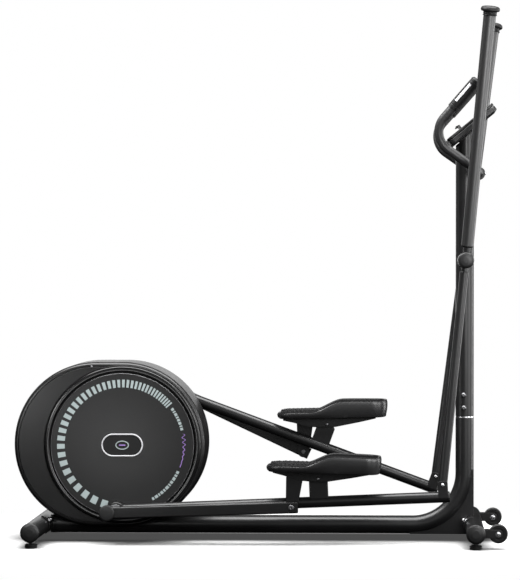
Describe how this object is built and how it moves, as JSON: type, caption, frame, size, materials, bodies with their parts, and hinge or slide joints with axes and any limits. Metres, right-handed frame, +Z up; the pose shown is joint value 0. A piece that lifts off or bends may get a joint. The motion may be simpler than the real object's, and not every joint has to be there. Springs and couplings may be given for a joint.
{
  "type": "elliptical trainer",
  "caption": "Upright elliptical trainer with a rear drive housing, suspended foot pedals, swinging arms, a fixed handlebar and a console.",
  "frame": {"origin": "on the floor, under the middle of the machine's bounding box", "axes": "+X to the machine's front, where the mast stands, +Y to the user's left, +Z up"},
  "size_m": [1.5349, 0.586, 1.6524],
  "materials": {
    "satin_black_paint": "satin",
    "gloss_housing": "gloss",
    "crank_disc_gloss": "gloss",
    "matte_black_plastic": "matte",
    "moulded_grip": "satin",
    "black_rubber": "matte",
    "bright_steel": "satin",
    "pressed_steel": "satin",
    "cast_iron": "machined",
    "display_glass": "gloss"
  },
  "bodies": {
    "frame": {"base_frame": "satin_black_paint", "mast_gusset": "satin_black_paint", "front_stabilizer": "satin_black_paint", "rear_stabilizer": "satin_black_paint", "front_right_end_cap": "matte_black_plastic", "front_left_end_cap": "matte_black_plastic", "rear_right_end_cap": "matte_black_plastic", "rear_left_end_cap": "matte_black_plastic", "upper_mast": "satin_black_paint", "arm_axle": "bright_steel", "fixed_handlebar": "satin_black_paint", "handlebar_clamp": "matte_black_plastic", "right_fixed_grip": "moulded_grip", "left_fixed_grip": "moulded_grip", "console_bracket": "satin_black_paint", "console_back": "matte_black_plastic", "console_front": "gloss_housing", "display_window": "display_glass", "right_housing_shell": "gloss_housing", "left_housing_shell": "gloss_housing", "right_trim_ring": "gloss_housing", "left_trim_ring": "gloss_housing", "drive_bracket": "satin_black_paint", "crank_bearing": "bright_steel", "drive_belt": "black_rubber"},
    "crank": {"crank_axle": "bright_steel", "drive_pulley": "matte_black_plastic", "right_crank_arm": "pressed_steel", "left_crank_arm": "pressed_steel", "right_crank_disc": "crank_disc_gloss", "left_crank_disc": "crank_disc_gloss"},
    "flywheel_rotor": {"flywheel": "cast_iron"},
    "brake": {"magnet_brake": "satin_black_paint"},
    "right_arm": {"right_swing_arm": "satin_black_paint", "right_handle": "moulded_grip", "right_handle_cap": "matte_black_plastic"},
    "right_tube": {"right_foot_tube": "satin_black_paint", "right_crank_pin": "bright_steel"},
    "right_footplate": {"right_pedal": "matte_black_plastic", "right_pedal_bracket": "satin_black_paint"},
    "right_rail": {"right_control_rail": "satin_black_paint"},
    "right_wheel": {"right_transport_wheel": "black_rubber"},
    "left_arm": {"left_swing_arm": "satin_black_paint", "left_handle": "moulded_grip", "left_handle_cap": "matte_black_plastic"},
    "left_tube": {"left_foot_tube": "satin_black_paint", "left_crank_pin": "bright_steel"},
    "left_footplate": {"left_pedal": "matte_black_plastic", "left_pedal_bracket": "satin_black_paint"},
    "left_rail": {"left_control_rail": "satin_black_paint"},
    "left_wheel": {"left_transport_wheel": "black_rubber"},
    "front_right_leveller": {"front_right_foot": "black_rubber"},
    "front_left_leveller": {"front_left_foot": "black_rubber"},
    "rear_right_leveller": {"rear_right_foot": "black_rubber"},
    "rear_left_leveller": {"rear_left_foot": "black_rubber"},
    "reset_key": {"reset_button": "black_rubber"},
    "mode_key": {"mode_button": "black_rubber"},
    "set_key": {"set_button": "black_rubber"}
  },
  "joints": [
    {"name": "crank_spin", "type": "hinge", "parent": "frame", "child": "crank", "pos_m": [-0.427, 0, 0.304], "axis": [0, 1, 0], "continuous": true},
    {"name": "flywheel_spin", "type": "hinge", "parent": "frame", "child": "flywheel_rotor", "pos_m": [-0.625, 0, 0.312], "axis": [0, 1, 0], "continuous": true},
    {"name": "brake_swing", "type": "hinge", "parent": "frame", "child": "brake", "pos_m": [-0.58229, 0, 0.4177], "axis": [0, 1, 0], "range_deg": [0, 5]},
    {"name": "right_arm_swing", "type": "hinge", "parent": "frame", "child": "right_arm", "pos_m": [0.641, -0.145, 0.88], "axis": [0, 1, 0], "range_deg": [-14.4, 15.7]},
    {"name": "left_arm_swing", "type": "hinge", "parent": "frame", "child": "left_arm", "pos_m": [0.641, 0.145, 0.88], "axis": [0, 1, 0], "range_deg": [-15.5, 14.2]},
    {"name": "right_tube_hang", "type": "hinge", "parent": "right_arm", "child": "right_tube", "pos_m": [0.57017, -0.132, 0.1856], "axis": [0, 1, 0], "range_deg": [-16, 30.6]},
    {"name": "right_pedal_tilt", "type": "hinge", "parent": "right_tube", "child": "right_footplate", "pos_m": [0.18498, -0.132, 0.20524], "axis": [0, 1, 0], "range_deg": [-27.7, 4.1]},
    {"name": "right_rail_pivot", "type": "hinge", "parent": "right_footplate", "child": "right_rail", "pos_m": [0.10379, -0.17, 0.11824], "axis": [0, 1, 0], "range_deg": [-2.2, 31.1]},
    {"name": "left_tube_hang", "type": "hinge", "parent": "left_arm", "child": "left_tube", "pos_m": [0.55164, 0.132, 0.18774], "axis": [0, 1, 0], "range_deg": [-30.6, 15.6]},
    {"name": "left_pedal_tilt", "type": "hinge", "parent": "left_tube", "child": "left_footplate", "pos_m": [0.20391, 0.132, 0.35458], "axis": [0, 1, 0], "range_deg": [-4.1, 25.7]},
    {"name": "left_rail_pivot", "type": "hinge", "parent": "left_footplate", "child": "left_rail", "pos_m": [0.12702, 0.17, 0.26376], "axis": [0, 1, 0], "range_deg": [-29.9, 2.2]},
    {"name": "right_wheel_roll", "type": "hinge", "parent": "frame", "child": "right_wheel", "pos_m": [0.7383, -0.241, 0.047], "axis": [0, 1, 0], "continuous": true},
    {"name": "left_wheel_roll", "type": "hinge", "parent": "frame", "child": "left_wheel", "pos_m": [0.7383, 0.241, 0.047], "axis": [0, 1, 0], "continuous": true},
    {"name": "front_right_level", "type": "slide", "parent": "frame", "child": "front_right_leveller", "axis": [0, 0, -1], "range_m": [0, 0.012]},
    {"name": "front_left_level", "type": "slide", "parent": "frame", "child": "front_left_leveller", "axis": [0, 0, -1], "range_m": [0, 0.012]},
    {"name": "rear_right_level", "type": "slide", "parent": "frame", "child": "rear_right_leveller", "axis": [0, 0, -1], "range_m": [0, 0.012]},
    {"name": "rear_left_level", "type": "slide", "parent": "frame", "child": "rear_left_leveller", "axis": [0, 0, -1], "range_m": [0, 0.012]},
    {"name": "reset_press", "type": "slide", "parent": "frame", "child": "reset_key", "axis": [0.6293, 0, -0.7771], "range_m": [0, 0.0015], "stiffness_N_per_m": 300},
    {"name": "mode_press", "type": "slide", "parent": "frame", "child": "mode_key", "axis": [0.6293, 0, -0.7771], "range_m": [0, 0.0015], "stiffness_N_per_m": 300},
    {"name": "set_press", "type": "slide", "parent": "frame", "child": "set_key", "axis": [0.6293, 0, -0.7771], "range_m": [0, 0.0015], "stiffness_N_per_m": 300}
  ],
  "couplings": [
    {"joint": "flywheel_spin", "follows": "crank_spin", "ratio": 5.6818},
    {"joint": "left_arm_swing", "follows": "right_arm_swing", "ratio": -0.98},
    {"joint": "right_tube_hang", "follows": "right_arm_swing", "ratio": -0.985},
    {"joint": "right_pedal_tilt", "follows": "right_arm_swing", "ratio": 0.255},
    {"joint": "right_rail_pivot", "follows": "right_arm_swing", "ratio": -0.136},
    {"joint": "left_tube_hang", "follows": "right_arm_swing", "ratio": 0.9653},
    {"joint": "left_pedal_tilt", "follows": "right_arm_swing", "ratio": -0.2499},
    {"joint": "left_rail_pivot", "follows": "right_arm_swing", "ratio": 0.1333}
  ]
}
